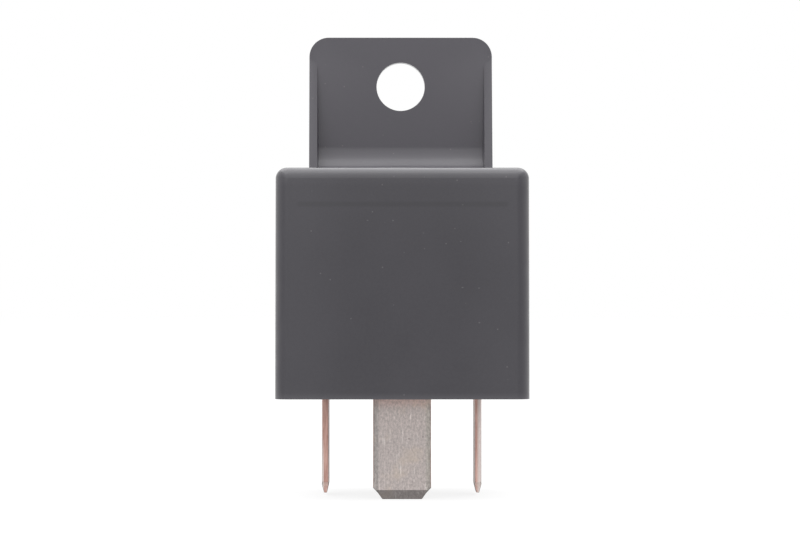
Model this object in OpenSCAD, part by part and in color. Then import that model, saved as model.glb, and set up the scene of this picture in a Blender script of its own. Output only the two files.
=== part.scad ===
// Plug-in change-over relay with a moulded cover and mounting tab.
// Millimetres, +Z up. The origin is on the seating face, in the middle of the cover.
// The front is -Y, the mounting tab rises along the rear (+Y), and the blades hang below the seating face.

/* [Cover] */
// Width of the cover across its open rim
body_w = 27.4; // [27:0.1:30]
// Depth of the cover across its open rim
body_d = 27.4; // [27:0.1:30]
// Height of the cover above the seating face
body_h = 24.9; // [24:0.1:28]
// Thickness of the cover's side walls
wall = 1.2; // [1:0.05:1.3]
// Thickness of the cover's roof
roof = 1.2; // [1:0.05:1.6]
// Radius of the upright outer edges, at the rim
edge_r = 1.5; // [1.4:0.1:2.4]
// Radius around the top of the cover
top_r = 1.2; // [0.6:0.1:1.3]
// Radius of the cavity's upright edges
cavity_r = 0.6; // [0.5:0.1:1]
// Draft of the cover's outer walls, in degrees
draft = 0.15; // [0.05:0.05:0.5]
// Draft of the cavity, in degrees
cavity_draft = 0.3; // [0.1:0.1:0.4]

/* [Mounting tab] */
// Width of the tab
tab_w = 20.8; // [16:0.1:23]
// Height of the tab above the cover's roof
tab_h = 15.45; // [14:0.05:20]
// Thickness of the tab
tab_t = 2.2; // [1.8:0.1:3]
// How far the tab's back stays in front of the cover's rear wall
tab_set = 0.1; // [0.05:0.05:0.5]
// Radius of the tab's two upper corners
tab_r = 2.2; // [1:0.1:4]
// Diameter of the screw hole
hole_d = 5.5; // [4.2:0.1:6.5]
// Distance from the tab's top edge to the centre of the hole
hole_drop = 5.6; // [5:0.1:7]
// Width of each gusset at its front edge
gusset_w = 0.9; // [0.6:0.1:1.5]
// Depth of each gusset where it meets the roof
gusset_d = 2.7; // [2:0.1:2.9]
// Distance from the tab's top edge to where the gussets run out
gusset_drop = 3; // [2.5:0.1:4.5]
// Draft of the gussets' inner sides, in degrees
gusset_draft = 5; // [1:0.5:8]
// Radius of the fillet between the tab and the roof
foot_r = 3; // [1:0.1:4]

/* [Base] */
// Thickness of the base plate
base_t = 3.2; // [3:0.1:4]
// Gap all round between the base plate and the cover
base_gap = 0.1; // [0.05:0.05:0.2]
// Gap round each blade in its slot
slot_gap = 0.05; // [0.02:0.01:0.1]
// How far the snap lugs stand out from the base plate
lug_out = 0.35; // [0.25:0.05:0.5]
// Length of each snap lug
lug_l = 4; // [3:0.5:6]
// Height of each snap lug
lug_h = 1; // [0.8:0.1:1.4]

/* [Blades] */
// Width of the blades
blade_w = 6.3; // [5.8:0.1:6.5]
// Thickness of the blades, and of the strip that they are bent from
blade_t = 0.8; // [0.6:0.05:0.9]
// Length of the load blades below the seating face
blade_l = 11; // [9:0.1:13]
// Length of the coil blades below the seating face
coil_blade_l = 10.7; // [9:0.1:13]
// Distance between the two coil blades
coil_pitch = 16.8; // [16.6:0.1:17.4]
// Distance from the cavity's front wall to the front blade's middle
front_in = 3.9; // [3.5:0.1:4]
// Distance from the front blade to the middle blade
middle_pitch = 8; // [7.6:0.1:8.1]
// Distance from the cavity's rear wall to the rear blade's middle
rear_in = 4.35; // [4.1:0.05:4.4]
// Height of the tapered tip
tip_h = 1; // [0.6:0.1:1.5]
// Thickness left at the end of the tip
tip_t = 0.3; // [0.2:0.05:0.5]
// Width of the coined strip along each edge
coin_w = 0.4; // [0.2:0.05:0.6]
// Depth of the coined strip along each edge
coin_t = 0.09; // [0.04:0.01:0.15]

/* [Magnet] */
// Thickness of the yoke
yoke_t = 1.6; // [1.2:0.1:1.8]
// Width of the yoke and of the armature's rear end
yoke_w = 13; // [12:0.5:14.5]
// Diameter of the core
core_d = 6.4; // [5:0.1:7]
// Diameter of the spigot that holds the core in the yoke
spigot_d = 4.6; // [3.6:0.1:4.8]
// Diameter of the pole face
pole_d = 9.4; // [8:0.1:11]
// Thickness of the pole face
pole_t = 0.95; // [0.8:0.05:1.4]
// Thickness of the bobbin's flanges
flange_t = 1; // [0.8:0.1:1.3]
// Wall of the bobbin's tube
tube_t = 0.8; // [0.6:0.1:1]
// How far the winding stays inside the bobbin's flanges
winding_in = 0.5; // [0.3:0.1:1]
// Thickness of the armature
arm_t = 1.6; // [1.4:0.1:1.8]
// Width of the armature's front end
arm_front_w = 10.5; // [9:0.5:12]
// Angle that the armature turns from open to closed, in degrees
travel = 2.1; // [1.5:0.1:2.5]
// Gap left between the closed armature and the pole face
pole_gap = 0.05; // [0.03:0.01:0.1]

/* [Contacts] */
// Thickness of the contact spring
spring_t = 0.3; // [0.2:0.05:0.35]
// Width of the contact spring
spring_w = 7.2; // [6:0.1:7.6]
// Diameter of the contacts' faces
contact_d = 2.8; // [2.4:0.1:3]
// Height of a fixed contact's head
contact_h = 1; // [0.8:0.1:1.2]
// Height of the moving contact's upper head
upper_h = 0.6; // [0.4:0.1:0.8]
// Height of the moving contact's lower head
lower_h = 0.7; // [0.5:0.1:0.9]
// Diameter of the contacts' shanks
shank_d = 1.4; // [1.2:0.1:1.6]
// Diameter of the rivets' shanks
rivet_d = 1.8; // [1.4:0.1:2.2]
// Height of the rivets' heads
head_h = 0.6; // [0.4:0.1:0.7]

/* [Hidden] */
$fn = 64;

cover_color = [0.32, 0.315, 0.335];
base_color = [0.13, 0.13, 0.14];
tin_color = [0.71, 0.67, 0.65];
steel_color = [0.6, 0.61, 0.63];
bronze_color = [0.72, 0.52, 0.3];
silver_color = [0.85, 0.85, 0.84];
wire_color = [0.72, 0.36, 0.2];
nylon_color = [0.85, 0.82, 0.72];

// Clearances: what closes up in use, what slides in, and what stands beside something live
touch = 0.02;
loose = 0.05;
apart = 0.3;
// Overlap of solids that are joined into one piece, and of cutters past a face
lap = 1;
// Metal left round a rivet or a contact
margin = 0.4;
// Inner radius of the bends in the terminals' strip
strip_r = 0.3;

// Cavity and base plate
cavity_w = body_w - 2 * wall;
cavity_d = body_d - 2 * wall;
cavity_h = body_h - roof;
base_w = cavity_w - 2 * base_gap;
base_d = cavity_d - 2 * base_gap;
// Floor under the strap that crosses the base
strap_floor = base_t / 2;
lug_z = base_t / 2;
// Height of the flat outer edge of a lug
lug_flat = 0.3;

// Blade positions
coil_x = coil_pitch / 2;
front_y = cavity_d / 2 - front_in;
rear_y = cavity_d / 2 - rear_in;
middle_y = -front_y + middle_pitch;
yoke_back = rear_y + blade_w / 2 - blade_t - spring_t;
yoke_front = yoke_back - yoke_t;

// Contact stack, worked out downwards from the cavity's roof
stake_h = 0.4;
stake_d = shank_d + 0.8;
fixed_d = contact_d + 0.2;
flap_top = cavity_h - stake_h - apart;
nc_face = flap_top - blade_t - contact_h;
// How far the contacts reach back over the front blade's riser
contact_back = 0.1;
contact_y = -front_y - blade_t / 2 - contact_d / 2 + contact_back;
shelf_l = contact_d / 2 + 0.2;
hinge_r = 0.3;
hinge_y = yoke_back - yoke_t / 2;
// Heights of the armature's top and of the moving contact's ends over the hinge axis
arm_top = arm_t - hinge_r;
upper_face = arm_top + spring_t + upper_h;
lower_face = arm_top - lower_h;
reach = hinge_y - contact_y;
hinge_z = nc_face - touch - (reach + contact_d / 2) * sin(travel) - upper_face * cos(travel);
no_face = hinge_z + lower_face - touch;
yoke_top = hinge_z - hinge_r - touch;

// Coil, between the front blade's riser and the yoke
coil_front = -front_y + blade_t / 2 + apart;
coil_y = (coil_front + yoke_front - apart) / 2;
flange_d = yoke_front - apart - coil_front;
flange_w = coil_pitch - blade_t - 2 * apart;
bobbin_z = base_t + yoke_t;
pole_top = yoke_top + touch - pole_gap;
bobbin_top = pole_top - pole_t;
tube_r = core_d / 2 + loose + tube_t;
winding_r = min(flange_w, flange_d) / 2 - winding_in;

// Armature, from the hinge to just past the pole face
arm_l = hinge_y - coil_y + pole_d / 2 + margin;
bend_r = arm_t;
// Centre of the contact spring's bend: level with both the yoke's back and the open armature's top
bend_y = yoke_back - bend_r;
bend_z = hinge_z + (arm_top - bend_r + sin(travel) * (hinge_y - bend_y)) / cos(travel);

// Rivets
rivet_z = (base_t + yoke_top) / 2 - 1;
rivet_x = spring_w / 2 - rivet_d;
arm_rivets = [arm_l * 0.32, arm_l * 0.68];
yoke_head_d = rivet_d + 1;
arm_head_d = rivet_d + 1.4;

// Width of the contact spring where it bends
neck_w = spring_w - 2;

// Coil posts and their leads
post_w = 1.8;
post_h = 4.4;
post_top = bobbin_z + post_h;
post_y = -blade_w / 2 + post_w / 2;
lead_d = 0.3;
lead_turns_h = 0.9;
lead_z = bobbin_z + flange_t + 0.9;
solder_t = 0.1;
solder_h = 0.7;

// Strap and riser of the middle terminal
strap_w = 2;
riser_w = contact_d + 0.4;
riser_x = blade_w / 2 + slot_gap + 0.6 + strap_w;
flap_l = riser_x + contact_d / 2 + 0.3;

// Pegs on the base that hold the yoke's foot, behind the strap
peg_d = 1.8;
// Distance of the pegs from the yoke's sides
peg_in = 1.7;
pegs = [for (sx = [-1, 1]) [sx * (yoke_w / 2 - peg_in), middle_y - blade_t / 2 + strap_w + peg_d]];

// ---- Shared shapes ----

// Half of a block's upright section: a drafted side that is r out at the floor, and a rounded top edge
module side_section(r, h, edge, lean) {
    round_r = min(edge, r - h * tan(lean) - loose);
    x = r - ((h - round_r) * sin(lean) + round_r) / cos(lean);
    z = h - round_r;
    polygon([[0, 0], [r, 0], [x + round_r * cos(lean), z + round_r * sin(lean)], [x, h], [0, h]]);
    intersection() {
        translate([x, z]) circle(round_r);
        translate([x, z]) square(round_r);
    }
}

// Whole upright section, across a block of width w
module block_section(w, h, r, edge, lean) {
    square_w = w - 2 * r;
    translate([-square_w / 2, 0]) square([square_w, h]);
    for (side = [0, 1])
        mirror([side, 0])
            translate([square_w / 2, 0]) side_section(r, h, edge, lean);
}

// Block with drafted walls, rounded upright edges and a rounded top edge
module drafted_block(w, d, h, r, edge, lean) {
    rotate([90, 0, 0])
        linear_extrude(d - 2 * r, center = true) block_section(w, h, r, edge, lean);
    rotate([90, 0, 90])
        linear_extrude(w - 2 * r, center = true) block_section(d, h, r, edge, lean);
    for (sx = [0, 1], sy = [0, 1])
        mirror([sx, 0, 0])
            mirror([0, sy, 0])
                translate([w / 2 - r, d / 2 - r, 0])
                    rotate_extrude(angle = 90) side_section(r, h, edge, lean);
}

// Rectangle with round corners
module round_rect(w, d, r) {
    square([w, d - 2 * r], center = true);
    square([w - 2 * r, d], center = true);
    for (sx = [-1, 1], sy = [-1, 1])
        translate([sx * (w / 2 - r), sy * (d / 2 - r)]) circle(r);
}

// Section of a strip bent through a right angle. Its outer corner is at [0, h]:
// one leg goes down to 0, the other goes l towards -x.
module bent_section(h, l, t, inner_r) {
    c = t + inner_r;
    translate([-t, 0]) square([t, h - c]);
    translate([-l, h - t]) square([l - c, t]);
    translate([-c, h - c])
        intersection() {
            difference() {
                circle(c);
                circle(inner_r);
            }
            square(c);
        }
}

// Blade in the XZ plane, hanging length below z = 0 and reaching up above it
module blade(length, up) {
    corner = [0.53, 0.68];
    corner_w = 1;
    corner_h = 1.25;
    intersection() {
        translate([0, 0, -length]) linear_extrude(length + up) blade_section();
        rotate([90, 0, 0])
            linear_extrude(2 * blade_t, center = true)
                polygon([[-blade_w / 2, up], [-blade_w / 2, corner_h - length],
                         [corner[0] - blade_w / 2, corner[1] - length], [corner_w - blade_w / 2, -length],
                         [blade_w / 2 - corner_w, -length], [blade_w / 2 - corner[0], corner[1] - length],
                         [blade_w / 2, corner_h - length], [blade_w / 2, up]]);
        rotate([90, 0, 90])
            linear_extrude(2 * blade_w, center = true)
                polygon([[-blade_t / 2, up], [-blade_t / 2, tip_h - length], [-tip_t / 2, -length],
                         [tip_t / 2, -length], [blade_t / 2, tip_h - length], [blade_t / 2, up]]);
    }
}

// Cross-section of a blade, thinner along both edges where it is coined
module blade_section() {
    edge_t = blade_t / 2 - coin_t;
    polygon([for (sx = [-1, 1], p = [[coin_w, blade_t / 2], [0, edge_t], [0, -edge_t], [coin_w, -blade_t / 2]])
             [sx * (blade_w / 2 - p[0]), -sx * p[1]]]);
}

// Slot in the base for one blade
module blade_slot() {
    linear_extrude(3 * base_t, center = true)
        square([blade_w + 2 * slot_gap, blade_t + 2 * slot_gap], center = true);
}

// Puts its children in the open armature's own frame: the hinge axis is at the origin,
// the armature lies along -Y
module on_armature() {
    translate([0, hinge_y, hinge_z]) rotate([-travel, 0, 0]) children();
}

// Fixed contact with its face at z = 0, looking up, staked through a strip
module fixed_contact() {
    translate([0, 0, -contact_h]) cylinder(d = fixed_d, h = contact_h);
    translate([0, 0, -contact_h - blade_t - stake_h / 2]) cylinder(d = shank_d, h = blade_t + stake_h);
    translate([0, 0, -contact_h - blade_t - stake_h]) cylinder(d = stake_d, h = stake_h);
}

// Hole in a strip for a contact's shank
module shank_hole() {
    cylinder(d = shank_d + 2 * touch, h = 4 * blade_t, center = true);
}

// ---- Cover ----

tab_back = body_d / 2 - body_h * tan(draft) - tab_set;
tab_front = tab_back - tab_t;
tab_top = body_h + tab_h;

module cover() color(cover_color) {
    difference() {
        union() {
            drafted_block(body_w, body_d, body_h, edge_r, top_r, draft);
            tab_plate();
            tab_foot();
            for (side = [0, 1]) mirror([side, 0, 0]) gusset();
        }
        translate([0, 0, -lap])
            drafted_block(cavity_w, cavity_d, cavity_h + lap, cavity_r, cavity_r, cavity_draft);
        translate([0, tab_back, tab_top - hole_drop])
            rotate([90, 0, 0]) cylinder(d = hole_d, h = 3 * tab_t, center = true);
        for (side = [0, 1])
            mirror([side, 0, 0]) snap_recess();
    }
}

// Flat plate of the tab, let into the roof as far as the cavity
module tab_plate() {
    translate([0, tab_back, 0])
        rotate([90, 0, 0])
            linear_extrude(tab_t) {
                translate([-tab_w / 2, cavity_h]) square([tab_w, tab_top - tab_r - cavity_h]);
                translate([tab_r - tab_w / 2, cavity_h]) square([tab_w - 2 * tab_r, tab_top - cavity_h]);
                for (sx = [-1, 1])
                    translate([sx * (tab_w / 2 - tab_r), tab_top - tab_r]) circle(tab_r);
            }
}

// Fillet where the tab rises from the roof
module tab_foot() {
    translate([0, tab_front, body_h])
        rotate([90, 0, 90])
            linear_extrude(tab_w - gusset_w, center = true)
                difference() {
                    translate([-foot_r, -lap / 2]) square([foot_r + lap, foot_r + lap / 2]);
                    translate([-foot_r, foot_r]) circle(foot_r);
                    translate([-lap - foot_r, -lap]) square([lap, foot_r + lap]);
                }
}

// Gusset along one edge of the tab, running out towards the top
module gusset() {
    rise = tab_h - gusset_drop;
    lean = atan(gusset_d / rise);
    deep = gusset_d + lap;
    inner_x = tab_w / 2 - gusset_w;
    intersection() {
        translate([0, tab_front - gusset_d, body_h])
            rotate([-lean, 0, 0])
                linear_extrude(2 * norm([rise, gusset_d]), center = true)
                    polygon([[inner_x, 0], [tab_w / 2, 0], [tab_w / 2, deep],
                             [inner_x - deep * tan(gusset_draft), deep]]);
        translate([0, tab_front - gusset_d - lap, body_h - lap / 2])
            cube([tab_w, gusset_d + lap + tab_t / 2, tab_h + lap / 2 - tab_r]);
    }
}

// Recess in the cover's inner wall that a snap lug springs into
module snap_recess() {
    translate([cavity_w / 2 - lap, 0, lug_z])
        rotate([90, 0, 0])
            linear_extrude(lug_l + 4 * loose, center = true)
                polygon([[0, -lug_h / 2 - loose], [lap + lug_out, -lug_h / 2 - loose],
                         [lap + lug_out, 0], [lap - base_gap, lug_h / 2 + 2 * loose + base_gap],
                         [0, lug_h / 2 + 2 * loose + base_gap]]);
}

// ---- Base plate ----

module base() color(base_color) {
    difference() {
        union() {
            linear_extrude(base_t) round_rect(base_w, base_d, cavity_r);
            for (side = [0, 1]) mirror([side, 0, 0]) snap_lug();
        }
        translate([0, -front_y, 0]) blade_slot();
        translate([0, middle_y, 0]) blade_slot();
        translate([0, rear_y, 0]) rotate([0, 0, 90]) blade_slot();
        for (sx = [-1, 1])
            translate([sx * coil_x, 0, 0]) rotate([0, 0, 90]) blade_slot();
        translate([0, 0, strap_floor]) linear_extrude(base_t) strap_outline(slot_gap);
    }
    for (p = pegs)
        translate([p[0], p[1], base_t - lap]) cylinder(d = peg_d, h = lap + yoke_t - loose);
}

// Wedge on the base's edge that snaps into the cover
module snap_lug() {
    translate([base_w / 2 - lap, 0, lug_z])
        rotate([90, 0, 0])
            linear_extrude(lug_l, center = true)
                polygon([[0, -lug_h / 2], [lap + lug_out, -lug_h / 2], [lap + lug_out, -lug_h / 2 + lug_flat],
                         [lap, lug_h / 2], [0, lug_h / 2]]);
}

// ---- Terminals ----

// Front blade: its riser ends in a shelf that carries the normally open contact
module terminal_87() color(tin_color) {
    shelf_top = no_face - contact_h;
    shelf_reach = blade_t / 2 - front_y - contact_y + shelf_l;
    riser_87_w = 5;
    difference() {
        union() {
            translate([0, -front_y, 0]) blade(blade_l, base_t);
            translate([0, blade_t / 2 - front_y, 0])
                rotate([90, 0, 90])
                    linear_extrude(riser_87_w, center = true)
                        bent_section(shelf_top, shelf_reach, blade_t, strip_r);
        }
        translate([0, contact_y, shelf_top]) shank_hole();
    }
}

// Middle blade: a strap in the base leads to a riser beside the contacts, whose flap
// carries the normally closed contact
module terminal_87a() color(tin_color) {
    difference() {
        union() {
            translate([0, middle_y, 0]) blade(blade_l, strap_floor + blade_t / 2);
            translate([0, 0, strap_floor]) linear_extrude(blade_t) strap_outline(0);
            translate([riser_x, contact_y, strap_floor])
                rotate([90, 0, 0])
                    linear_extrude(riser_w, center = true)
                        bent_section(flap_top - strap_floor, flap_l, blade_t, strip_r);
        }
        translate([0, contact_y, flap_top]) shank_hole();
    }
}

// Plan of the strap, grown by gap all round
module strap_outline(gap) {
    front = contact_y - riser_w / 2;
    back = middle_y - blade_t / 2 + strap_w;
    translate([-blade_w / 2 - gap, middle_y - blade_t / 2 - gap])
        square([riser_x + blade_w / 2 + 2 * gap, strap_w + 2 * gap]);
    translate([riser_x - strap_w - gap, front - gap])
        square([strap_w + 2 * gap, back - front + 2 * gap]);
}

// Rear blade, turned across the others: its riser lies behind the contact spring and is riveted to the yoke
module terminal_30() color(tin_color) {
    riser_30_w = rivet_x + rivet_d + 0.6;
    riser_top = rivet_z + rivet_d + margin;
    translate([0, rear_y, 0]) rotate([0, 0, 90]) blade(blade_l, base_t - loose);
    difference() {
        union() {
            translate([-blade_t / 2, yoke_back + spring_t, base_t - lap])
                cube([blade_t, blade_t, riser_top - base_t + lap]);
            translate([-blade_t / 2, yoke_back + spring_t, base_t + loose])
                cube([riser_30_w + blade_t / 2, blade_t, riser_top - base_t - loose]);
        }
        translate([rivet_x, yoke_back, rivet_z]) rotate([90, 0, 0]) rivet_hole();
    }
}

// Coil blade, standing across the front blade, with a post for the coil's lead
module coil_terminal(side) color(tin_color) {
    translate([side * coil_x, 0, 0]) {
        rotate([0, 0, 90]) blade(coil_blade_l, base_t);
        translate([-blade_t / 2, -blade_w / 2, base_t - lap])
            cube([blade_t, post_w, post_top - base_t + lap]);
    }
}

module terminal_85() coil_terminal(1);
module terminal_86() coil_terminal(-1);

// ---- Magnet ----

// L-shaped yoke: the coil stands on its foot and the armature hinges on its upper edge
module yoke() color(steel_color) {
    foot_l = yoke_back - coil_y + spigot_d / 2 + 2.6;
    difference() {
        translate([0, 0, base_t])
            mirror([0, 0, 1])
                translate([0, yoke_back, base_t - yoke_top])
                    rotate([90, 0, 90])
                        linear_extrude(yoke_w, center = true)
                            bent_section(yoke_top - base_t, foot_l, yoke_t, apart);
        translate([0, coil_y, base_t])
            cylinder(d = spigot_d + 2 * touch, h = 3 * yoke_t, center = true);
        for (p = pegs)
            translate([p[0], p[1], base_t]) cylinder(d = peg_d + 2 * loose, h = 3 * yoke_t, center = true);
        for (side = [-1, 1])
            translate([side * rivet_x, yoke_back, rivet_z]) rotate([90, 0, 0]) rivet_hole();
    }
}

// Core with its pole face on top and its spigot in the yoke
module core() color(steel_color) {
    translate([0, coil_y, 0]) {
        translate([0, 0, bobbin_top]) cylinder(d = pole_d, h = pole_t);
        translate([0, 0, bobbin_z]) cylinder(d = core_d, h = bobbin_top - bobbin_z + lap / 2);
        translate([0, 0, base_t + loose]) cylinder(d = spigot_d, h = yoke_t + lap);
    }
}

module bobbin() color(nylon_color) {
    difference() {
        union() {
            for (z = [bobbin_z, bobbin_top - flange_t])
                translate([0, coil_y, z]) linear_extrude(flange_t) round_rect(flange_w, flange_d, 1);
            translate([0, coil_y, bobbin_z]) cylinder(r = tube_r, h = bobbin_top - bobbin_z);
        }
        translate([0, coil_y, bobbin_z])
            cylinder(d = core_d + 2 * loose, h = 3 * (bobbin_top - bobbin_z), center = true);
    }
}

// Copper winding, filling the bobbin between its flanges
module winding() color(wire_color) {
    translate([0, coil_y, bobbin_z + flange_t])
        difference() {
            cylinder(r = winding_r, h = bobbin_top - bobbin_z - 2 * flange_t);
            cylinder(r = tube_r, h = 3 * bobbin_top, center = true);
        }
}

// One end of the winding: it crosses to the post and is wound round it
module coil_lead(side) color(wire_color) {
    start = sqrt(pow(winding_r + loose, 2) - pow(post_y - coil_y, 2));
    end = coil_x - blade_t / 2 - lead_d / 2;
    translate([side * start, post_y, lead_z])
        rotate([0, side * 90, 0]) cylinder(d = lead_d, h = end - start);
    translate([side * coil_x, post_y, lead_z - lead_d / 2]) post_sleeve(lead_d, lead_turns_h);
}

// Collar round a coil post
module post_sleeve(t, h) {
    linear_extrude(h)
        difference() {
            round_rect(blade_t + 2 * t + 2 * touch, post_w + 2 * t + 2 * touch, t);
            square([blade_t + 2 * touch, post_w + 2 * touch], center = true);
        }
}

module coil_lead_85() coil_lead(1);
module coil_lead_86() coil_lead(-1);

// Bead of solder over the lead's last turns
module solder_joint(side) color(silver_color)
    translate([side * coil_x, post_y, lead_z - lead_d / 2 + lead_turns_h])
        post_sleeve(lead_d + solder_t, solder_h);

module solder_joint_85() solder_joint(1);
module solder_joint_86() solder_joint(-1);

// Steel flap: its rear lower edge is round and rests on the yoke, which is the hinge
module armature() color(steel_color) {
    chamfer = [1, 0.7];
    on_armature()
        difference() {
            intersection() {
                rotate([90, 0, 90])
                    linear_extrude(yoke_w, center = true) {
                        polygon([[-arm_l, -hinge_r], [0, -hinge_r], [0, 0], [hinge_r, 0],
                                 [hinge_r, arm_top - chamfer[1]], [hinge_r - chamfer[0], arm_top],
                                 [-arm_l, arm_top]]);
                        circle(hinge_r);
                    }
                translate([0, 0, -lap]) linear_extrude(arm_t + 2 * lap) armature_plan();
            }
            for (y = arm_rivets) translate([0, -y, 0]) rivet_hole();
        }
}

// Plan of the armature: full width over the yoke, narrower towards the contacts
module armature_plan() {
    shoulder = arm_l * 0.3;
    slope = (yoke_w - arm_front_w) / 2;
    polygon([[yoke_w / 2, lap], [yoke_w / 2, -shoulder], [arm_front_w / 2, -shoulder - slope],
             [arm_front_w / 2, -arm_l], [-arm_front_w / 2, -arm_l], [-arm_front_w / 2, -shoulder - slope],
             [-yoke_w / 2, -shoulder], [-yoke_w / 2, lap]]);
}

module rivet_hole() {
    cylinder(d = rivet_d + 2 * touch, h = 8 * arm_t, center = true);
}

// ---- Contacts ----

// L-shaped leaf spring: riveted to the yoke's back, bent over the hinge, riveted to the armature,
// and reaching on to the moving contact
module contact_spring() color(bronze_color) {
    leg_low = rivet_z - rivet_d - margin;
    leg_top = rivet_z + rivet_d;
    difference() {
        intersection() {
            rotate([90, 0, 90]) linear_extrude(2 * spring_w, center = true) polygon(spring_side(leg_low));
            union() {
                translate([-spring_w / 2, hinge_y, 0]) cube([spring_w, yoke_t + lap, leg_top]);
                translate([-neck_w / 2, bend_y - lap, rivet_z]) cube([neck_w, 2 * bend_r + lap, body_h]);
                linear_extrude(body_h) spring_plan();
            }
        }
        for (side = [-1, 1])
            translate([side * rivet_x, yoke_back, rivet_z]) rotate([90, 0, 0]) rivet_hole();
        on_armature() {
            for (y = arm_rivets) translate([0, -y, 0]) rivet_hole();
            translate([0, -reach, arm_top]) shank_hole();
        }
    }
}

// Side view of the spring, open: up the yoke's back, round the bend and along the armature's top
function spring_side(leg_low) =
    let (
        steps = 16,
        flat_l = reach + contact_d + (bend_y - hinge_y),
        arc = function (r) [for (k = [0:steps]) let (a = k * (90 - travel) / steps)
                            [bend_y + r * cos(a), bend_z + r * sin(a)]],
        tip = function (r) [bend_y + r * sin(travel) - flat_l * cos(travel),
                            bend_z + r * cos(travel) + flat_l * sin(travel)],
        inside = arc(bend_r),
        outside = arc(bend_r + spring_t)
    )
    concat([[yoke_back + spring_t, leg_low]], outside, [tip(bend_r + spring_t), tip(bend_r)],
           [for (k = [steps:-1:0]) inside[k]], [[yoke_back, leg_low]]);

// Plan of the spring on the armature: full width, then tapering to a round end at the contact
module spring_plan() {
    tip_r = contact_d / 2 + margin;
    tip_y = hinge_y - reach * cos(travel) + arm_top * sin(travel);
    back = hinge_y - arm_rivets[0] + rivet_d;
    front = hinge_y - arm_l;
    polygon([[spring_w / 2, back], [spring_w / 2, front], [tip_r, tip_y],
             [-tip_r, tip_y], [-spring_w / 2, front], [-spring_w / 2, back]]);
    translate([0, tip_y]) circle(tip_r);
    translate([-neck_w / 2, back - lap]) square([neck_w, bend_y - back + lap]);
}

// Rivets through the yoke: one holds the spring, the other holds the spring and terminal 30
module yoke_rivets() color(steel_color) {
    for (side = [-1, 1])
        translate([side * rivet_x, yoke_front - head_h, rivet_z])
            rotate([-90, 0, 0]) {
                stack = yoke_t + spring_t + (side > 0 ? blade_t : 0);
                cylinder(d = yoke_head_d, h = head_h);
                cylinder(d = rivet_d, h = stack + 2 * head_h);
                translate([0, 0, head_h + stack]) cylinder(d = yoke_head_d, h = head_h);
            }
}

// Rivets that join the spring to the armature, flush underneath
module armature_rivets() color(steel_color)
    on_armature()
        for (y = arm_rivets)
            translate([0, -y, 0]) {
                translate([0, 0, -hinge_r]) cylinder(d = rivet_d, h = arm_t + spring_t + head_h);
                translate([0, 0, arm_top + spring_t]) cylinder(d = arm_head_d, h = head_h);
            }

// Double-sided contact rivet at the spring's tip
module moving_contact() color(silver_color)
    on_armature()
        translate([0, -reach, 0]) {
            translate([0, 0, lower_face]) cylinder(d = contact_d, h = lower_h);
            translate([0, 0, lower_face]) cylinder(d = shank_d, h = upper_face - lower_face);
            translate([0, 0, upper_face - upper_h]) cylinder(d = contact_d, h = upper_h);
        }

module contact_87() color(silver_color)
    translate([0, contact_y, no_face]) fixed_contact();

module contact_87a() color(silver_color)
    translate([0, contact_y, nc_face]) mirror([0, 0, 1]) fixed_contact();

cover();
base();
terminal_30();
terminal_85();
terminal_86();
terminal_87();
terminal_87a();
yoke();
core();
bobbin();
winding();
coil_lead_85();
coil_lead_86();
solder_joint_85();
solder_joint_86();
armature();
contact_spring();
yoke_rivets();
armature_rivets();
moving_contact();
contact_87();
contact_87a();
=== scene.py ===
import math

import bpy
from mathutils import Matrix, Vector


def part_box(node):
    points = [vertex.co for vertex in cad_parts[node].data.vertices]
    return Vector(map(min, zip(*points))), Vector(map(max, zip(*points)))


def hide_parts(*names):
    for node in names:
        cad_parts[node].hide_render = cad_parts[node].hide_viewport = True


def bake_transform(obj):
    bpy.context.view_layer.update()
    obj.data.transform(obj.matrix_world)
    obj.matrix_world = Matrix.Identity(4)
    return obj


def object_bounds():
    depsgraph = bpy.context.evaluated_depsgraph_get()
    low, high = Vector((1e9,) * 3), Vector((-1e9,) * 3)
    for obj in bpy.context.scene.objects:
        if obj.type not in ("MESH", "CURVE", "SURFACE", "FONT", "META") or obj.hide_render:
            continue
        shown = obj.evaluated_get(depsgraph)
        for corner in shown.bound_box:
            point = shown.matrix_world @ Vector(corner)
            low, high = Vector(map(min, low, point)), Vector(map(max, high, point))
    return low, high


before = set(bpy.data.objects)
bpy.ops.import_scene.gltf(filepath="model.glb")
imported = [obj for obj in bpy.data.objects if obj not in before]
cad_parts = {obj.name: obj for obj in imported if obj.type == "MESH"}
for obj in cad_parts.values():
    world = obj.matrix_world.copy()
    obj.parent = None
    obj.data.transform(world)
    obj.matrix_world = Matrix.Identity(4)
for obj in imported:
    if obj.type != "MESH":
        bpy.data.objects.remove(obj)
cad_low, cad_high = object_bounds()

MM = 0.001

# Camera: level, a little left of the middle and turned slightly to the right
CAMERA_AHEAD = 394.6 * MM  # from the cover's front wall
CAMERA_SIDE = -3.25 * MM
CAMERA_HEIGHT = 14.26 * MM
CAMERA_TURN = math.radians(0.4334)
LENS = 165.6  # focal length and sensor width in millimetres
SENSOR = 36

# Studio
AMBIENT = 0.7  # of its white walls, as light on the part
GLOSS_LEVEL = 0.4  # of what is behind the camera, as gloss shows it
ROOM_DIMS = (-0.2, -0.95)  # Y of a ray's direction, from full white to GLOSS_LEVEL
FLOOR_DIMS = (-0.02, -0.1)  # Y on the floor in metres, from full white to GLOSS_LEVEL
FLOOR_SIZE = 3.0
FLOOR_TONES = (0.44, 0.44, 0.44), (0.46, 0.46, 0.46)  # for the light that it throws on the part
FLOOR_LIT = (0.2, 0.2, 0.2)  # the part of its white that a shadow darkens
FLOOR_GLOW = 0.85  # the part of its white that glows

# Lamps: place from the part's middle and side in metres, power in watts
TOP_LIGHT = {"offset": (0, 0.1, 0.6), "size": 1.0, "power": 5.0}
FRONT_LIGHT = {"offset": (-0.12, -0.65, 0.45), "size": 0.9, "power": 2.4}

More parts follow.
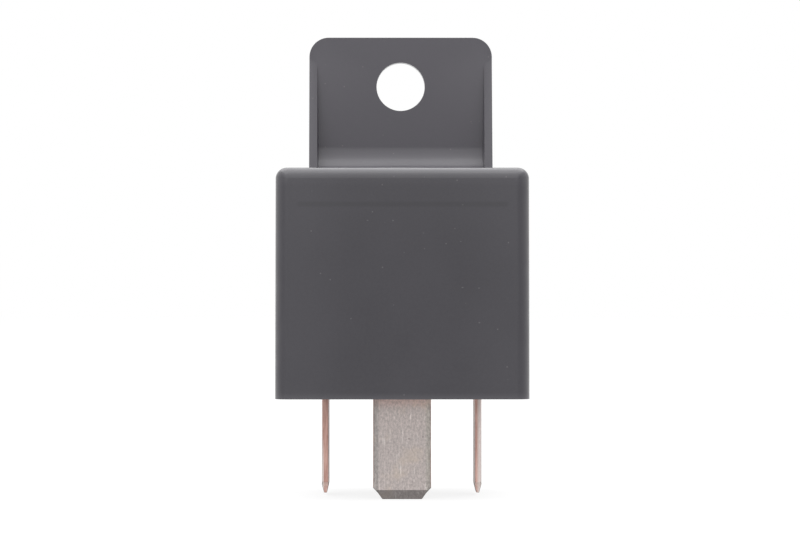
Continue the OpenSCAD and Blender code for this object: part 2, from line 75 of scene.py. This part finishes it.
# Places on the cover, in millimetres
COVER_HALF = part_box("cover")[1].x / MM  # from its middle to a wall's outer face
ROOF_Z = 24.9
WITNESS_Z = 20.95
WITNESS_FADE = (0.42, 0.1)  # above and below it, from the line's edge to where it is full
WITNESS_END = (COVER_HALF - 2.1, COVER_HALF - 2.7)  # from its end to where it is full
CORNER = (COVER_HALF - 0.5, COVER_HALF - 1.3)  # from the rounding to the flat wall
SIDE_PAINTED_LIGHT = (4.5, COVER_HALF - 1.7)  # from a wall's middle, to where its painted light is strongest
SHOULDER_PAINTED_LIGHT = (ROOF_Z - 2.2, ROOF_Z - 1.1)
UPPER_PAINTED_LIGHT = (ROOF_Z * 0.5, ROOF_Z * 0.95)
# painted reflection of the floor on the rim
RIM_PAINTED_REFLECTION = (0.8, 0)

# Places on the blades, in millimetres
INSIDE_Z = 0.6  # from here up a blade is inside the relay
MARGIN = (2.45, 2.7)  # from the blade's middle to where the pressed margin sets in
MARGIN_RIM = (2.95, 3.05)  # and to where its rim does
LEFT_TINNED = (-8.45, -8.7)  # X where tin sets in on the left blade's front edge
RIGHT_TINNED = (8.2, 8.55)
LEFT_TINNED_Z = (-2, -9)
ROOT_LIGHT_Z = (-5.5, 0)  # up the tin, to where its painted light is strongest and it is warmest
WARM_Z = (-1.5, 0)

# Edges: rounding in millimetres, angles in degrees
COVER_EDGE = 0.06
BASE_EDGE = 0.1
IRON_EDGE = 0.08
BLADE_EDGE = 0.04
BEVEL_ANGLE = 40
SMOOTH_ANGLE = 28
CREASE_ANGLE = 9

# Colours of the plastics
WALL_TONES = (0.0315, 0.029, 0.038), (0.0365, 0.0338, 0.0435)
# painted light: the tab paler than the walls, for how light falls on it
TAB_LIGHT_TONE = (0.064, 0.0585, 0.074)
GRAIN_TONE = (0.12, 0.118, 0.125)
# painted light and reflection: the paler colour on the walls' sides, upper part and rim
PAINTED_LIGHT_TONE = (0.13, 0.126, 0.14)
WITNESS_TONE = (0.01, 0.01, 0.011)
DUST_TONE = (0.3, 0.28, 0.28)

# Colours of the blades
TIN_TONES = (0.37, 0.33, 0.318), (0.63, 0.56, 0.54)
DARK_STREAK = (0.36, 0.33, 0.32)
BRIGHT_STREAK = (0.86, 0.81, 0.78)
STAIN = (0.64, 0.53, 0.42)
PIT = (0.12, 0.1, 0.1)
COPPER_TONES = (0.44, 0.2, 0.155), (0.68, 0.4, 0.335)
WORN_TIN_TONES = (0.6, 0.52, 0.49), (0.95, 0.9, 0.87)
# painted shade on the blades' down-facing tip bevels
TIP_SHADE_TONE = (0.088, 0.084, 0.082)

# Tints that multiply the blades' tin: painted shade on the margins, painted light near the root, and
# warmth
# painted shade on the pressed margins and their rim
LEFT_MARGIN_SHADE = (0.76, 0.78, 0.78)
RIGHT_MARGIN_SHADE = (0.88, 0.91, 0.88)
MARGIN_RIM_SHADE = (0.6, 0.6, 0.6)
# painted light toward the base
ROOT_LIGHT_TINT = (1.17, 1.16, 1.15)
WARM_TINT = (1.15, 1.0, 0.97)

SPREAD = (0.3, 0.7)  # where most values of a noise lie
GRAIN_DEPTH = 0.004  # of plastic and worked metal, in millimetres
TIN_DEPTH = 0.012


# ---- Node helpers ----


def add(tree, kind, inputs=None, **settings):
    """A new shader node. An input is a value, or the output socket that feeds it."""
    made = tree.nodes.new("ShaderNode" + kind)
    for key, value in settings.items():
        setattr(made, key, value)
    for key, value in (inputs or {}).items():
        if isinstance(value, bpy.types.NodeSocket):
            tree.links.new(value, made.inputs[key])
        else:
            made.inputs[key].default_value = value
    return made


def math_node(tree, operation, *values):
    """The result of one Math node."""
    return add(tree, "Math", dict(enumerate(values)), operation=operation).outputs[0]


def times(tree, a, b):
    """The product of two values."""
    return math_node(tree, "MULTIPLY", a, b)


def absolute(tree, value):
    """The value without its sign."""
    return math_node(tree, "ABSOLUTE", value)


def ramp(tree, value, low, high, to_low=0.0, to_high=1.0):
    """The value moved smoothly from low..high to to_low..to_high."""
    ends = {"From Min": low, "From Max": high, "To Min": to_low, "To Max": to_high}
    made = add(tree, "MapRange", {"Value": value, **ends}, interpolation_type="SMOOTHSTEP")
    return made.outputs["Result"]


def in_mm(tree, stretch=(1, 1, 1)):
    """The piece's own coordinates in millimetres, times stretch."""
    place = add(tree, "TexCoord").outputs["Object"]
    scale = tuple(s / MM for s in stretch)
    return add(tree, "VectorMath", {0: place, 1: scale}, operation="MULTIPLY").outputs[0]


def axes(tree, vector):
    """The X, Y and Z of a vector, by name."""
    return add(tree, "SeparateXYZ", {0: vector}).outputs


def noise(tree, place, scale, detail=3.0, roughness=0.5):
    """Noise of about 0 to 1; scale is in cells per millimetre."""
    inputs = {"Vector": place, "Scale": scale, "Detail": detail, "Roughness": roughness}
    return add(tree, "TexNoise", inputs).outputs["Fac"]


def specks(tree, place, scale, size, share):
    """1 on small round spots in a share of a grid's cells, else 0."""
    cells = add(tree, "TexVoronoi", {"Vector": place, "Scale": scale})
    near = ramp(tree, cells.outputs["Distance"], size, size * 0.4)
    chosen = add(tree, "SeparateColor", {"Color": cells.outputs["Color"]}).outputs[0]
    return times(tree, near, math_node(tree, "LESS_THAN", chosen, share))


def rgba(colour):
    """A colour socket as it is, or three numbers with an alpha of 1."""
    return colour if isinstance(colour, bpy.types.NodeSocket) else (*colour, 1)


def mix(tree, factor, a, b, blend="MIX"):
    """Two colours mixed by factor. They enter a Mix node at sockets 6 and 7, and leave it at 2."""
    inputs = {"Factor": factor, 6: rgba(a), 7: rgba(b)}
    return add(tree, "Mix", inputs, data_type="RGBA", blend_type=blend).outputs[2]


def bump(tree, height, depth):
    """A bump of depth millimetres."""
    inputs = {"Height": height, "Distance": depth * MM, "Strength": 1.0}
    return add(tree, "Bump", inputs).outputs["Normal"]


def new_material(name, **values):
    """A material with these values on its Principled shader."""
    material = bpy.data.materials.new(name)
    material.use_nodes = True
    shader = material.node_tree.nodes["Principled BSDF"]
    for key, value in values.items():
        shader.inputs[key.replace("_", " ")].default_value = value
    return material, material.node_tree, shader.inputs


def link_surface(tree, shader, tone, rough, normal):
    """Links to a shader what varies over its surface."""
    tree.links.new(tone, shader["Base Color"])
    tree.links.new(rough, shader["Roughness"])
    tree.links.new(normal, shader["Normal"])


def shades(colour, *factors):
    """A colour times each factor, none of them above white."""
    return [tuple(min(1, c * factor) for c in colour) for factor in factors]


# ---- Plastics ----


def moulded_tone(tree, place, tones):
    """Faint clouds between two tones, and the fine grain of a moulded face."""
    clouds = noise(tree, place, scale=0.12, detail=2)
    grain = noise(tree, place, scale=5, detail=4, roughness=0.7)
    return mix(tree, ramp(tree, clouds, *SPREAD), *tones), grain


def satin(tree, place, low, high):
    """A roughness that wanders between low and high."""
    return ramp(tree, noise(tree, place, scale=0.8), 0.25, 0.75, low, high)


def moulded_plastic(name, colour, roughness):
    """Satin moulded plastic: faint clouds in its colour and a fine grain."""
    material, tree, shader = new_material(name, IOR=1.5)
    place = in_mm(tree)
    tone, grain = moulded_tone(tree, place, shades(colour, 0.93, 1.07))
    tone = mix(tree, ramp(tree, grain, *SPREAD, to_high=0.12), tone, GRAIN_TONE)
    rough = satin(tree, place, roughness - 0.04, roughness + 0.04)
    link_surface(tree, shader, tone, rough, bump(tree, grain, GRAIN_DEPTH))
    return material


def painted_light_sides(tree, along_wall):
    """Painted light on a wall: more away from its middle, but not on its corners."""
    outward = ramp(tree, along_wall, *SIDE_PAINTED_LIGHT, to_high=0.08)
    return times(tree, outward, ramp(tree, along_wall, *CORNER))


def painted_light_ends(tree, height):
    """Painted light at a height: more in its upper half and near its roof, and a painted reflection at
    its rim.
    """
    upper = ramp(tree, height, *UPPER_PAINTED_LIGHT, to_high=0.07)
    shoulder = ramp(tree, height, *SHOULDER_PAINTED_LIGHT, to_high=0.09)
    rim = ramp(tree, height, *RIM_PAINTED_REFLECTION, to_high=0.3)
    return math_node(tree, "ADD", math_node(tree, "ADD", upper, shoulder), rim)


def witness_line(tree, height, along_wall):
    """The faint dark line that the mould leaves round the walls. It ends short of their corners."""
    away = absolute(tree, math_node(tree, "SUBTRACT", height, WITNESS_Z))
    line = ramp(tree, away, *WITNESS_FADE, to_high=0.22)
    return times(tree, line, ramp(tree, along_wall, *WITNESS_END))


def small_marks(tree, place):
    """Specks of dust, and scratches drawn out a little sideways."""
    dust = specks(tree, place, scale=0.9, size=0.1, share=0.3)
    scratches = specks(tree, in_mm(tree, (0.45, 0.45, 0.8)), scale=1.1, size=0.08, share=0.2)
    return times(tree, math_node(tree, "MAXIMUM", dust, scratches), 0.22)


def cover_plastic(name):
    """The cover's dark grey plastic with a line and marks, made paler by painted light on the tab, the
    walls' sides and its upper part, and by a painted reflection at the rim.
    """
    material, tree, shader = new_material(name, IOR=1.5, Coat_Weight=0.65, Coat_Roughness=0.22)
    place = in_mm(tree)
    at = axes(tree, place)
    along_wall = math_node(tree, "MINIMUM", absolute(tree, at["X"]), absolute(tree, at["Y"]))
    tab_light = ramp(tree, at["Z"], ROOF_Z - 0.5, ROOF_Z + 0.3)
    tone, grain = moulded_tone(tree, place, WALL_TONES)
    # painted light toward the walls' sides
    tone = mix(tree, painted_light_sides(tree, along_wall), tone, PAINTED_LIGHT_TONE)
    # painted light on the tab
    tone = mix(tree, tab_light, tone, TAB_LIGHT_TONE)
    tone = mix(tree, ramp(tree, grain, *SPREAD, to_high=0.06), tone, GRAIN_TONE)
    # painted light high on the walls and a painted reflection at the rim
    tone = mix(tree, painted_light_ends(tree, at["Z"]), tone, PAINTED_LIGHT_TONE)
    tone = mix(tree, witness_line(tree, at["Z"], along_wall), tone, WITNESS_TONE)
    tone = mix(tree, small_marks(tree, place), tone, DUST_TONE)
    rough = satin(tree, place, 0.4, 0.44)
    link_surface(tree, shader, tone, rough, bump(tree, grain, GRAIN_DEPTH))
    return material


# ---- Metals ----


def matt_tin(tree, grain, streaks, pits):
    """Tin with a fine grain, drawn streaks, yellowish stains and dark pits."""
    stains = noise(tree, in_mm(tree), scale=0.5)
    tin = mix(tree, ramp(tree, grain, *SPREAD), *TIN_TONES)
    tin = mix(tree, ramp(tree, streaks, 0.45, 0.3, to_high=0.4), tin, DARK_STREAK)
    tin = mix(tree, ramp(tree, streaks, 0.57, 0.68, to_high=0.7), tin, BRIGHT_STREAK)
    tin = mix(tree, ramp(tree, stains, 0.5, 0.75, to_high=0.35), tin, STAIN)
    return mix(tree, times(tree, pits, 0.6), tin, PIT)


def shaded_margins(tree, across, tin):
    """Painted shade on the pressed margins of a broad face, darker on the left, with a painted dark rim.
    """
    left = ramp(tree, across, -MARGIN[0], -MARGIN[1], to_high=0.95)
    right = ramp(tree, across, *MARGIN, to_high=0.95)
    rim = ramp(tree, absolute(tree, across), *MARGIN_RIM, to_high=0.6)
    tin = mix(tree, left, tin, LEFT_MARGIN_SHADE, "MULTIPLY")
    tin = mix(tree, right, tin, RIGHT_MARGIN_SHADE, "MULTIPLY")
    return mix(tree, rim, tin, MARGIN_RIM_SHADE, "MULTIPLY")


def painted_light_and_warm_root(tree, height, outside, tin):
    """The tin, paler toward the base with painted light, and warmer just under it."""
    root_light = times(tree, outside, ramp(tree, height, *ROOT_LIGHT_Z))
    warm = times(tree, outside, ramp(tree, height, *WARM_Z))
    tin = mix(tree, root_light, tin, ROOT_LIGHT_TINT, "MULTIPLY")
    return mix(tree, warm, tin, WARM_TINT, "MULTIPLY")


def tin_left(tree, at):
    """How much tin is left on the side blades' front edges: on the left one only low down."""
    low = ramp(tree, at["Z"], *LEFT_TINNED_Z)
    left = times(tree, ramp(tree, at["X"], *LEFT_TINNED), low)
    right = ramp(tree, at["X"], *RIGHT_TINNED, 0.15, 0.85)
    return math_node(tree, "MAXIMUM", left, right)


def sheared_copper(tree, at, grain, streaks):
    """Copper with what tin is left on it."""
    copper = mix(tree, ramp(tree, streaks, 0.35, 0.65), *COPPER_TONES)
    return mix(tree, tin_left(tree, at), copper, mix(tree, grain, *WORN_TIN_TONES))


def painted_tip_shade(tree, facing, broad_axis):
    """Painted shade: how dark the down-facing bevels are by which a blade's broad faces end at its tip.
    """
    down = ramp(tree, facing["Z"], -0.1, -0.3)
    broad = ramp(tree, absolute(tree, facing[broad_axis]), 0.3, 0.6)
    return times(tree, times(tree, down, broad), 0.85)


def tinned_blade(name, broad_axis, edge_axis):
    """Matt tin. Outside the relay, copper shows on the sheared edges, which face edge_axis."""
    material, tree, shader = new_material(name, Metallic=1.0)
    place = in_mm(tree)
    at = axes(tree, place)
    facing = axes(tree, add(tree, "TexCoord").outputs["Normal"])
    streaks = noise(tree, in_mm(tree, (1, 1, 0.07)), scale=5, detail=4, roughness=0.7)
    grain = noise(tree, in_mm(tree, (1, 1, 0.6)), scale=5, detail=4, roughness=0.75)
    pits = specks(tree, place, scale=1.4, size=0.16, share=0.16)
    outside = ramp(tree, at["Z"], INSIDE_Z, 0)
    tin = matt_tin(tree, grain, streaks, pits)
    if edge_axis == "X":  # these blades lie in the middle, where the margins' places count from
        # painted shade on the pressed margins
        tin = shaded_margins(tree, at["X"], tin)
    # painted light toward the base, and a warm tint under it
    tin = painted_light_and_warm_root(tree, at["Z"], outside, tin)
    sheared = times(tree, ramp(tree, absolute(tree, facing[edge_axis]), 0.6, 0.85), outside)
    tone = mix(tree, sheared, tin, sheared_copper(tree, at, grain, streaks))
    # painted shade on the down-facing tip bevels
    tone = mix(tree, painted_tip_shade(tree, facing, broad_axis), tone, TIP_SHADE_TONE)
    height = math_node(tree, "SUBTRACT", math_node(tree, "ADD", grain, streaks), pits)
    rough = ramp(tree, grain, 0.2, 0.8, 0.36, 0.52)
    link_surface(tree, shader, tone, rough, bump(tree, height, TIN_DEPTH))
    return material


def worked_metal(name, colour, roughness, stretch=(1, 1, 1)):
    """Metal with fine marks; stretch below 1 draws them out along that axis."""
    material, tree, shader = new_material(name, Metallic=1.0)
    marks = noise(tree, in_mm(tree, stretch), scale=6, detail=4, roughness=0.6)
    tone = mix(tree, ramp(tree, marks, *SPREAD), *shades(colour, 0.85, 1.1))
    rough = ramp(tree, marks, *SPREAD, roughness - 0.06, roughness + 0.06)
    link_surface(tree, shader, tone, rough, bump(tree, marks, GRAIN_DEPTH))
    return material


def wound_wire(name, pitch, groove_shade, crown):
    """Enamelled wire in level turns, pitch millimetres apart, with the tones of its groove and crown;
    the groove's tone is painted shade.
    """
    material, tree, shader = new_material(name, Metallic=0.8, Roughness=0.3, Coat_Weight=0.5)
    turn = times(tree, axes(tree, in_mm(tree))["Z"], 2 * math.pi / pitch)
    crest = math_node(tree, "MULTIPLY_ADD", math_node(tree, "SINE", turn), 0.5, 0.5)
    # painted shade in the grooves between turns
    tree.links.new(mix(tree, crest, groove_shade, crown), shader["Base Color"])
    tree.links.new(bump(tree, crest, pitch * 0.3), shader["Normal"])
    return material


# ---- CAD nodes ----


def smooth_group(angle):
    """Geometry nodes that shade a mesh smooth, except at edges sharper than angle degrees."""
    group = bpy.data.node_groups.new(f"smooth_{angle}", "GeometryNodeTree")
    for way in ("INPUT", "OUTPUT"):
        group.interface.new_socket("Geometry", in_out=way, socket_type="NodeSocketGeometry")
    nodes, links = group.nodes, group.links
    start, end = nodes.new("NodeGroupInput"), nodes.new("NodeGroupOutput")
    faces = nodes.new("GeometryNodeSetShadeSmooth")
    edges = nodes.new("GeometryNodeSetShadeSmooth")
    faces.domain, edges.domain = "FACE", "EDGE"
    turned = nodes.new("GeometryNodeInputMeshEdgeAngle")
    flat = nodes.new("FunctionNodeCompare")
    flat.operation = "LESS_THAN"
    flat.inputs["B"].default_value = math.radians(angle)
    links.new(turned.outputs["Unsigned Angle"], flat.inputs["A"])
    links.new(flat.outputs["Result"], edges.inputs["Shade Smooth"])
    links.new(start.outputs[0], faces.inputs["Geometry"])
    links.new(faces.outputs[0], edges.inputs["Geometry"])
    links.new(edges.outputs[0], end.inputs[0])
    return group


SMOOTH = smooth_group(SMOOTH_ANGLE)
CREASED = smooth_group(CREASE_ANGLE)


def soften(piece, width, shading):
    """Rounds a piece's sharp edges by width millimetres and shades its curves smooth."""
    weld = piece.modifiers.new("weld", "WELD")
    weld.merge_threshold = 1e-7  # joins only points at the same place
    if width:
        edge = piece.modifiers.new("edge", "BEVEL")
        edge.width = width * MM
        edge.segments = 1
        edge.limit_method = "ANGLE"
        edge.angle_limit = math.radians(BEVEL_ANGLE)
        edge.use_clamp_overlap = True
    shade = piece.modifiers.new("shade", "NODES")
    shade.node_group = shading
    level = piece.modifiers.new("level", "WEIGHTED_NORMAL")
    level.mode = "FACE_AREA"
    level.weight = 90  # large faces look flat right up to a rounded edge
    level.keep_sharp = True


def dress(names, material, width=0.0, shading=SMOOTH):
    """Gives CAD nodes a material and softer edges."""
    for name in names:
        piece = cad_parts[name]
        piece.data.materials.clear()
        piece.data.materials.append(material)
        soften(piece, width, shading)


def dress_plastics():
    """The cover, the base and the bobbin."""
    base = moulded_plastic("base_plastic", colour=(0.02, 0.02, 0.022), roughness=0.6)
    nylon = moulded_plastic("bobbin_plastic", colour=(0.6, 0.57, 0.46), roughness=0.4)
    dress(["cover"], cover_plastic("cover_plastic"), COVER_EDGE)
    dress(["base"], base, BASE_EDGE)
    dress(["bobbin"], nylon)


def dress_iron():
    """The magnetic circuit, and the rivets on it."""
    steel = worked_metal("steel", colour=(0.5, 0.5, 0.5), roughness=0.3)
    rivet = worked_metal("rivets", colour=(0.55, 0.54, 0.52), roughness=0.35)
    dress(["yoke", "core", "armature"], steel, IRON_EDGE)
    dress(["yoke_rivets", "armature_rivets"], rivet)


def dress_circuit():
    """The coil and its leads, the solder and the contacts."""
    wire = wound_wire("winding_wire", pitch=0.22, groove_shade=(0.16, 0.035, 0.012), crown=(0.55, 0.17, 0.06))
    lead = worked_metal("enamelled_wire", colour=(0.45, 0.12, 0.04), roughness=0.3)
    solder = worked_metal("solder", colour=(0.6, 0.6, 0.6), roughness=0.2)
    silver = worked_metal("contact_silver", colour=(0.85, 0.84, 0.82), roughness=0.25)
    dress(["winding"], wire)
    dress(["coil_lead_85", "coil_lead_86"], lead)
    dress(["solder_joint_85", "solder_joint_86"], solder)
    dress(["moving_contact", "contact_87", "contact_87a"], silver)


def dress_blades():
    """The blades that lie across the relay, and those that lie along it."""
    across = tinned_blade("tinned_blade_across", broad_axis="Y", edge_axis="X")
    along = tinned_blade("tinned_blade_along", broad_axis="X", edge_axis="Y")
    dress(["terminal_87", "terminal_87a"], across, BLADE_EDGE, CREASED)
    dress(["terminal_30", "terminal_85", "terminal_86"], along, BLADE_EDGE, CREASED)


def leaf_spring():
    """The contact spring, which lies between the riveted leg and the armature."""
    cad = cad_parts["contact_spring"]
    piece = bpy.data.objects.new("leaf_spring", cad.data.copy())
    bpy.context.scene.collection.objects.link(piece)
    piece.data.materials.clear()
    drawn = (1, 0.1, 0.1)  # lines along the strip
    bronze = worked_metal("spring_bronze", colour=(0.5, 0.28, 0.11), roughness=0.3, stretch=drawn)
    piece.data.materials.append(bronze)
    soften(piece, 0, SMOOTH)
    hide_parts("contact_spring")
    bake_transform(piece)


# ---- Camera, light and floor ----


def background_level(tree, ahead, full, dim):
    """The white that camera, glass and gloss see. Gloss sees GLOSS_LEVEL of it at dim."""
    rays = add(tree, "LightPath").outputs
    gloss = times(tree, rays["Is Glossy Ray"], ramp(tree, ahead, dim, full, GLOSS_LEVEL, 1))
    seen = math_node(tree, "MAXIMUM", rays["Is Camera Ray"], rays["Is Transmission Ray"])
    return math_node(tree, "MAXIMUM", seen, gloss)


def make_world():
    """A white room that lights the part evenly, and is dimmer to gloss behind the camera."""
    world = bpy.data.worlds.new("studio")
    bpy.context.scene.world = world
    world.use_nodes = True
    tree = world.node_tree
    shader = tree.nodes["Background"].inputs
    shader["Color"].default_value = (1, 1, 1, 1)
    ahead = axes(tree, add(tree, "TexCoord").outputs["Generated"])["Y"]
    seen = background_level(tree, ahead, *ROOM_DIMS)
    lit = times(tree, add(tree, "LightPath").outputs["Is Diffuse Ray"], AMBIENT)
    tree.links.new(math_node(tree, "ADD", seen, lit), shader["Strength"])


def floor_paint():
    """White with soft shadows to the camera, and pale grey for the light that it throws on the part."""
    material = bpy.data.materials.new("floor_paint")
    material.use_nodes = True
    tree = material.node_tree
    tree.nodes.remove(tree.nodes["Principled BSDF"])
    paper = noise(tree, in_mm(tree), scale=0.02, detail=2)
    matt = add(tree, "BsdfDiffuse", {"Color": mix(tree, paper, *FLOOR_TONES)})
    lit = add(tree, "BsdfDiffuse", {"Color": rgba(FLOOR_LIT)})
    ahead = axes(tree, add(tree, "TexCoord").outputs["Object"])["Y"]
    level = times(tree, background_level(tree, ahead, *FLOOR_DIMS), FLOOR_GLOW)
    glow = add(tree, "Emission", {"Strength": level})
    white = add(tree, "AddShader", {0: lit.outputs[0], 1: glow.outputs[0]})
    to_part = add(tree, "LightPath").outputs["Is Diffuse Ray"]
    shown = add(tree, "MixShader", {0: to_part, 1: white.outputs[0], 2: matt.outputs[0]})
    tree.links.new(shown.outputs[0], tree.nodes["Material Output"].inputs["Surface"])
    return material


def make_floor():
    """A floor under the blades' tips."""
    bpy.ops.mesh.primitive_plane_add(size=FLOOR_SIZE, location=(0, 0, cad_low.z))
    floor = bpy.context.object
    floor.name = "floor"
    floor.data.materials.append(floor_paint())


def soft_lamp(name, offset, size, power):
    """A square lamp that points at the part's middle."""
    data = bpy.data.lights.new(name, "AREA")
    data.shape = "SQUARE"
    data.size = size
    data.energy = power
    lamp = bpy.data.objects.new(name, data)
    bpy.context.scene.collection.objects.link(lamp)
    lamp.location = (cad_low + cad_high) / 2 + Vector(offset)
    lamp.rotation_euler = (-Vector(offset)).to_track_quat("-Z", "Y").to_euler()


def make_camera():
    """A long lens in front of the part."""
    data = bpy.data.cameras.new("camera")
    data.lens = LENS
    data.sensor_width = SENSOR
    data.clip_start, data.clip_end = 0.01, 10
    camera = bpy.data.objects.new("camera", data)
    bpy.context.scene.collection.objects.link(camera)
    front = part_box("cover")[0].y
    camera.location = (CAMERA_SIDE, front - CAMERA_AHEAD, CAMERA_HEIGHT)
    camera.rotation_euler = (math.pi / 2, 0, -CAMERA_TURN)
    bpy.context.scene.camera = camera


make_camera()
make_world()
make_floor()
soft_lamp("top_light", **TOP_LIGHT)
soft_lamp("front_light", **FRONT_LIGHT)
dress_plastics()
dress_iron()
dress_circuit()
dress_blades()
leaf_spring()

bpy.context.scene.view_settings.view_transform = "Standard"
